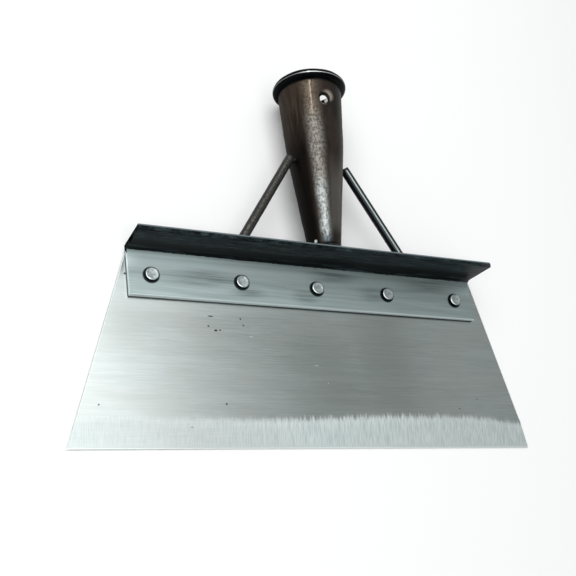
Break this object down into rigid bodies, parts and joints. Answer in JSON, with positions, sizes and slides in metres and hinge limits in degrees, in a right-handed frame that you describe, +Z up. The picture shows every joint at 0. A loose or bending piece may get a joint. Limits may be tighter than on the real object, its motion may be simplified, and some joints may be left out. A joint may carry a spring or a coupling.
{
  "type": "garden scraper head",
  "caption": "Wide flat scraper blade riveted under an angle beam, with a tapered handle socket and round side braces welded to the beam.",
  "frame": {"origin": "middle of the box of the whole head, on the surface that the blade's back and the socket's rim lie on", "axes": "+X along the cutting edge, +Y from the cutting edge towards the socket's mouth, +Z up from the blade's back through its riveted front"},
  "size_m": [0.25, 0.1954, 0.0405],
  "materials": {
    "blade_steel": "lengthwise brushed spring steel with a cross-ground cutting bevel",
    "beam_steel": "black painted rolled angle, ground bare on its riveted leg",
    "rivet_steel": "plain steel, hammered and lightly ground",
    "socket_steel": "dark brown mill scale under clear varnish, worn brighter on the front",
    "brace_steel": "gloss black painted round bar",
    "weld_steel": "weld bead under black paint"
  },
  "bodies": {
    "root": {"blade": "blade_steel", "angle_beam": "beam_steel", "rivet_1": "rivet_steel", "rivet_2": "rivet_steel", "rivet_3": "rivet_steel", "rivet_4": "rivet_steel", "rivet_5": "rivet_steel", "socket": "socket_steel", "socket_weld": "weld_steel", "brace_left": "brace_steel", "brace_right": "brace_steel", "brace_foot_weld_left": "weld_steel", "brace_foot_weld_right": "weld_steel", "brace_top_weld_left": "weld_steel", "brace_top_weld_right": "weld_steel"}
  },
  "joints": []
}
